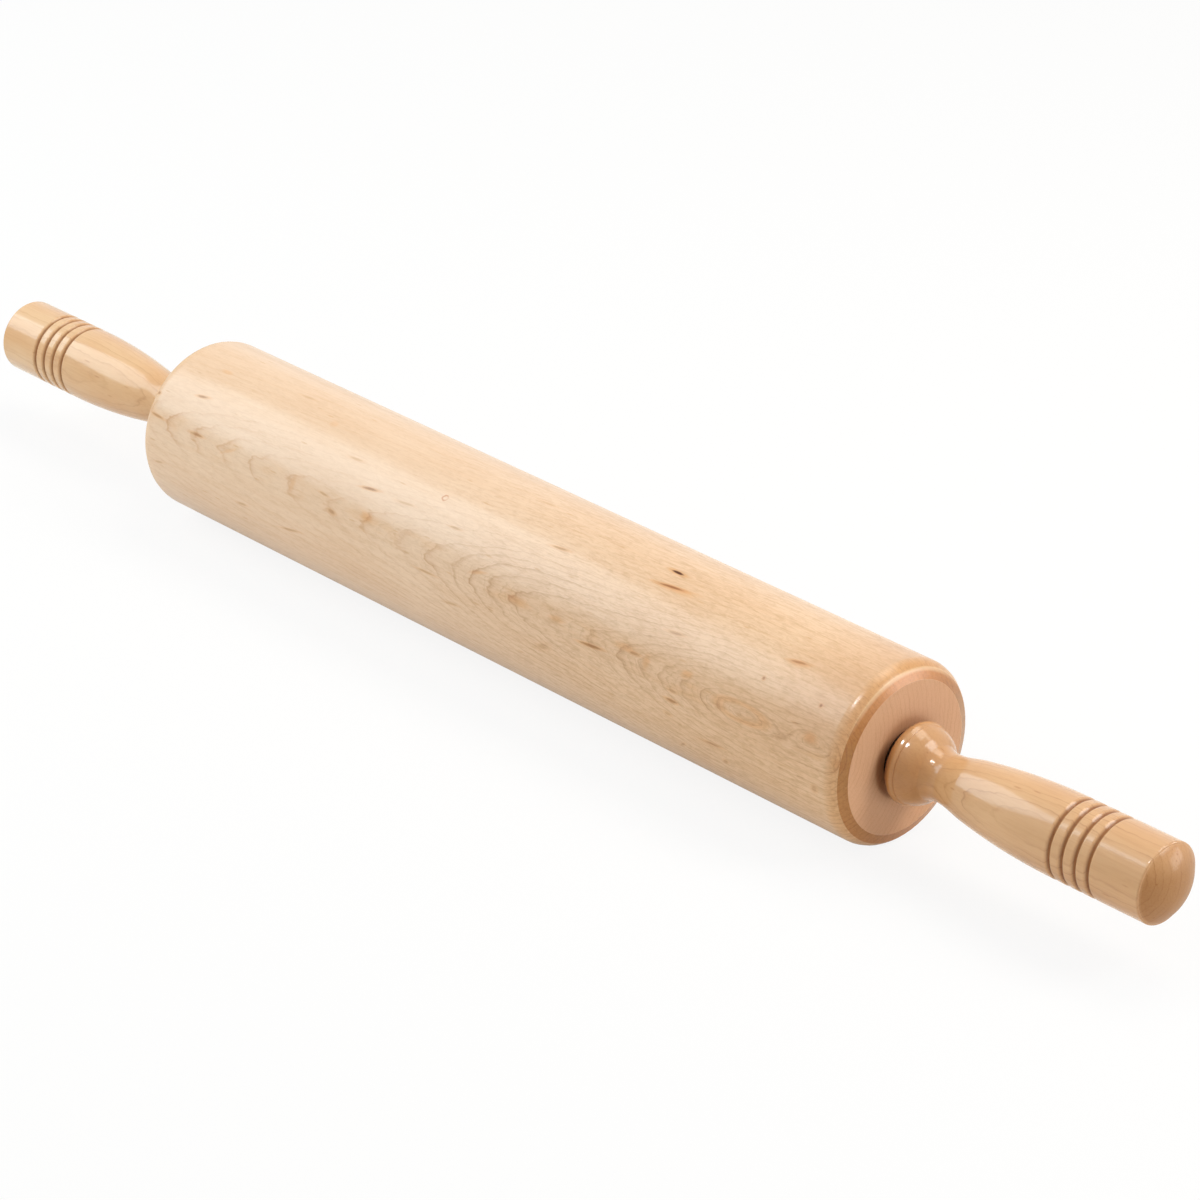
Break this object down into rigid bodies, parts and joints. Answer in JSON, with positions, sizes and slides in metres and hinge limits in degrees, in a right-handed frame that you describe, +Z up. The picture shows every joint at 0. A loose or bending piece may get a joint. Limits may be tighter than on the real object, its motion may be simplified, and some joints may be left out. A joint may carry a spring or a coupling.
{
  "type": "rolling pin",
  "caption": "Roller-type rolling pin: a smooth wooden barrel that turns on ball bearings on a through rod, with a fixed turned handle at each end.",
  "frame": {"origin": "middle of the barrel, on its axis", "axes": "+X along the rod towards the handle that is nearer in the picture, +Z up"},
  "size_m": [0.6316, 0.07, 0.07],
  "materials": {
    "barrel_maple": "satin oiled maple",
    "handle_maple": "clear gloss varnish on maple",
    "rod_steel": "ground bar",
    "insert_brass": "machined",
    "spacer_steel": "turned",
    "spring_steel": "phosphated spring steel",
    "race_steel": "ground and polished",
    "ball_chrome": "polished",
    "cage_brass": "machined",
    "shield_steel": "pressed sheet"
  },
  "bodies": {
    "handles_and_rod": {"axle_rod": "rod_steel", "left_handle": "handle_maple", "left_insert": "insert_brass", "left_spacer": "spacer_steel", "left_rod_clip": "spring_steel", "left_inner_race": "race_steel", "right_handle": "handle_maple", "right_insert": "insert_brass", "right_spacer": "spacer_steel", "right_rod_clip": "spring_steel", "right_inner_race": "race_steel"},
    "barrel_body": {"barrel": "barrel_maple", "left_outer_race": "race_steel", "left_outer_shield": "shield_steel", "left_inner_shield": "shield_steel", "right_outer_race": "race_steel", "right_outer_shield": "shield_steel", "right_inner_shield": "shield_steel"},
    "left_ball_set": {"left_balls": "ball_chrome", "left_cage": "cage_brass"},
    "right_ball_set": {"right_balls": "ball_chrome", "right_cage": "cage_brass"}
  },
  "joints": [
    {"name": "barrel_spin", "type": "hinge", "parent": "handles_and_rod", "child": "barrel_body", "pos_m": [0, 0, 0], "axis": [1, 0, 0], "continuous": true},
    {"name": "left_balls_orbit", "type": "hinge", "parent": "handles_and_rod", "child": "left_ball_set", "pos_m": [-0.188, 0, 0], "axis": [1, 0, 0], "continuous": true},
    {"name": "right_balls_orbit", "type": "hinge", "parent": "handles_and_rod", "child": "right_ball_set", "pos_m": [0.188, 0, 0], "axis": [1, 0, 0], "continuous": true}
  ],
  "couplings": [
    {"joint": "left_balls_orbit", "follows": "barrel_spin", "ratio": 0.63233},
    {"joint": "right_balls_orbit", "follows": "barrel_spin", "ratio": 0.63233}
  ]
}
